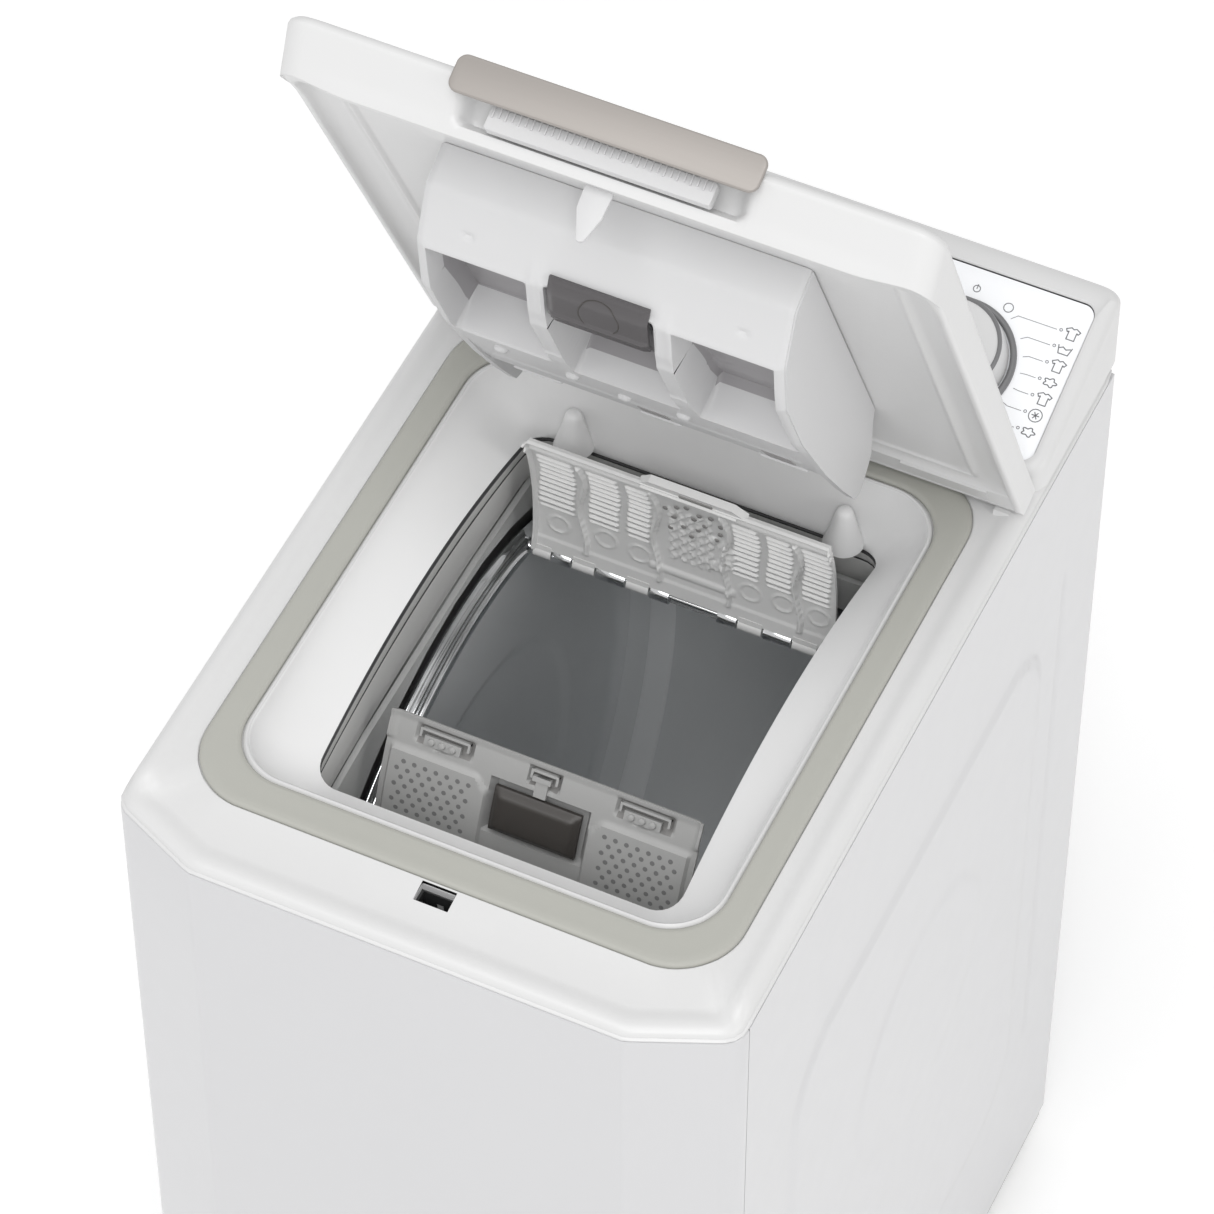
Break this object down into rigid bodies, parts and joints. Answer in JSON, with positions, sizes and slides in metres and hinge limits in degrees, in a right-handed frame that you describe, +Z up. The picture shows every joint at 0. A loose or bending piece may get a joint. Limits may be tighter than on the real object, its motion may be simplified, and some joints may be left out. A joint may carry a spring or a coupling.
{
  "type": "top loading washing machine",
  "caption": "Narrow top-loading washing machine with open hinged lid, lid dispenser, control console and a horizontal drum with two open flaps.",
  "frame": {"origin": "centre of the bounding box on the floor", "axes": "+X to the right seen from the front, +Y to the back, +Z up; the front faces -Y"},
  "size_m": [0.4036, 0.595, 1.2587],
  "materials": {
    "painted_sheet": "smooth white enamel",
    "white_plastic": "satin white",
    "seal_grey": "matte warm grey",
    "dark_rubber": "matte black",
    "bellows_rubber": "matte dark grey",
    "zinc_sheet": "galvanised",
    "handle_metal": "brushed champagne",
    "grey_plastic": "satin light grey",
    "dark_plastic": "satin dark grey",
    "black_plastic": "matte black",
    "stainless": "brushed stainless",
    "cast_alloy": "as cast",
    "steel": "machined",
    "concrete": "cast concrete",
    "tub_plastic": "glass filled polypropylene",
    "board": "printed circuit board"
  },
  "bodies": {
    "cabinet": {"base_frame": "grey_plastic", "side_panel_left": "painted_sheet", "side_panel_right": "painted_sheet", "front_panel": "painted_sheet", "rear_panel": "zinc_sheet", "top_cover": "white_plastic", "opening_seal": "seal_grey", "throat_gasket": "bellows_rubber", "door_lock": "black_plastic", "console_body": "white_plastic", "console_fascia": "white_plastic", "knob_bezel": "dark_plastic", "control_board": "board", "lid_hinge_pin": "steel", "tub_left": "tub_plastic", "tub_right": "tub_plastic", "bearing_left": "cast_alloy", "bearing_right": "cast_alloy", "drive_belt": "dark_rubber", "motor": "cast_alloy", "counterweight_front": "concrete", "counterweight_side": "concrete", "spring_left": "steel", "spring_right": "steel", "damper_left": "dark_plastic", "damper_right": "dark_plastic", "heater": "steel", "drain_pump": "dark_plastic", "sump_hose": "dark_rubber", "inlet_valve": "dark_plastic"},
    "lid": {"lid_outer": "white_plastic", "lid_liner": "white_plastic", "lid_handle": "handle_metal", "handle_comb": "white_plastic", "lid_striker": "grey_plastic", "dispenser_body": "white_plastic", "softener_cap": "dark_plastic"},
    "drum": {"drum_shell": "stainless", "drum_end_left": "stainless", "drum_end_right": "stainless", "lifter_front": "grey_plastic", "lifter_rear": "grey_plastic", "hinge_rod_rear": "steel", "hinge_rod_front": "steel", "shaft_left": "steel", "shaft_right": "steel", "drum_pulley": "cast_alloy"},
    "rear_flap": {"flap_rear": "grey_plastic"},
    "front_flap": {"flap_front": "grey_plastic"},
    "flap_key": {"flap_button": "dark_plastic"},
    "rotor": {"motor_pulley": "steel"},
    "knob": {"program_knob": "white_plastic"},
    "start_key": {"start_button": "grey_plastic"},
    "option_key_a": {"option_button_a": "white_plastic"},
    "option_key_b": {"option_button_b": "white_plastic"},
    "bolt": {"lock_bolt": "grey_plastic"},
    "foot_fl": {"foot_front_left": "dark_rubber"},
    "foot_fr": {"foot_front_right": "dark_rubber"},
    "foot_rl": {"foot_rear_left": "dark_rubber"},
    "foot_rr": {"foot_rear_right": "dark_rubber"}
  },
  "joints": [
    {"name": "lid_hinge", "type": "hinge", "parent": "cabinet", "child": "lid", "pos_m": [0, 0.15, 0.85], "axis": [1, 0, 0], "range_deg": [0, 65.25]},
    {"name": "drum_spin", "type": "hinge", "parent": "cabinet", "child": "drum", "pos_m": [0, 0.008, 0.49], "axis": [1, 0, 0], "range_deg": [-3, 3]},
    {"name": "motor_spin", "type": "hinge", "parent": "cabinet", "child": "rotor", "pos_m": [0, 0.108, 0.132], "axis": [1, 0, 0], "range_deg": [-30, 30]},
    {"name": "rear_flap_hinge", "type": "hinge", "parent": "drum", "child": "rear_flap", "pos_m": [0, 0.08811, 0.71623], "axis": [1, 0, 0], "range_deg": [0, 80], "stiffness_Nm_per_rad": 0.4, "springref_deg": -45.84},
    {"name": "front_flap_hinge", "type": "hinge", "parent": "drum", "child": "front_flap", "pos_m": [0, -0.14466, 0.67519], "axis": [1, 0, 0], "range_deg": [-43, 0], "stiffness_Nm_per_rad": 0.4, "springref_deg": 57.3},
    {"name": "flap_button_press", "type": "slide", "parent": "front_flap", "child": "flap_key", "axis": [0, 0.9078, -0.4193], "range_m": [0, 0.003], "stiffness_N_per_m": 400, "springref_m": -0.003},
    {"name": "program_knob_turn", "type": "hinge", "parent": "cabinet", "child": "knob", "pos_m": [0.118, 0.21573, 0.87186], "axis": [0, -0.3369, 0.9416], "continuous": true},
    {"name": "start_button_press", "type": "slide", "parent": "cabinet", "child": "start_key", "axis": [0, 0.3369, -0.9416], "range_m": [0, 0.0016], "stiffness_N_per_m": 500, "springref_m": -0.002},
    {"name": "option_button_a_press", "type": "slide", "parent": "cabinet", "child": "option_key_a", "axis": [0, 0.3369, -0.9416], "range_m": [0, 0.0016], "stiffness_N_per_m": 500, "springref_m": -0.002},
    {"name": "option_button_b_press", "type": "slide", "parent": "cabinet", "child": "option_key_b", "axis": [0, 0.3369, -0.9416], "range_m": [0, 0.0016], "stiffness_N_per_m": 500, "springref_m": -0.002},
    {"name": "lock_bolt_slide", "type": "slide", "parent": "cabinet", "child": "bolt", "axis": [0, -1, 0], "range_m": [0, 0.008]},
    {"name": "foot_fl_turn", "type": "hinge", "parent": "cabinet", "child": "foot_fl", "pos_m": [-0.16, -0.228, 0], "axis": [0, 0, 1], "continuous": true},
    {"name": "foot_fr_turn", "type": "hinge", "parent": "cabinet", "child": "foot_fr", "pos_m": [0.16, -0.228, 0], "axis": [0, 0, 1], "continuous": true},
    {"name": "foot_rl_turn", "type": "hinge", "parent": "cabinet", "child": "foot_rl", "pos_m": [-0.16, 0.245, 0], "axis": [0, 0, 1], "continuous": true},
    {"name": "foot_rr_turn", "type": "hinge", "parent": "cabinet", "child": "foot_rr", "pos_m": [0.16, 0.245, 0], "axis": [0, 0, 1], "continuous": true}
  ],
  "couplings": [
    {"joint": "motor_spin", "follows": "drum_spin", "ratio": 9.8929}
  ]
}
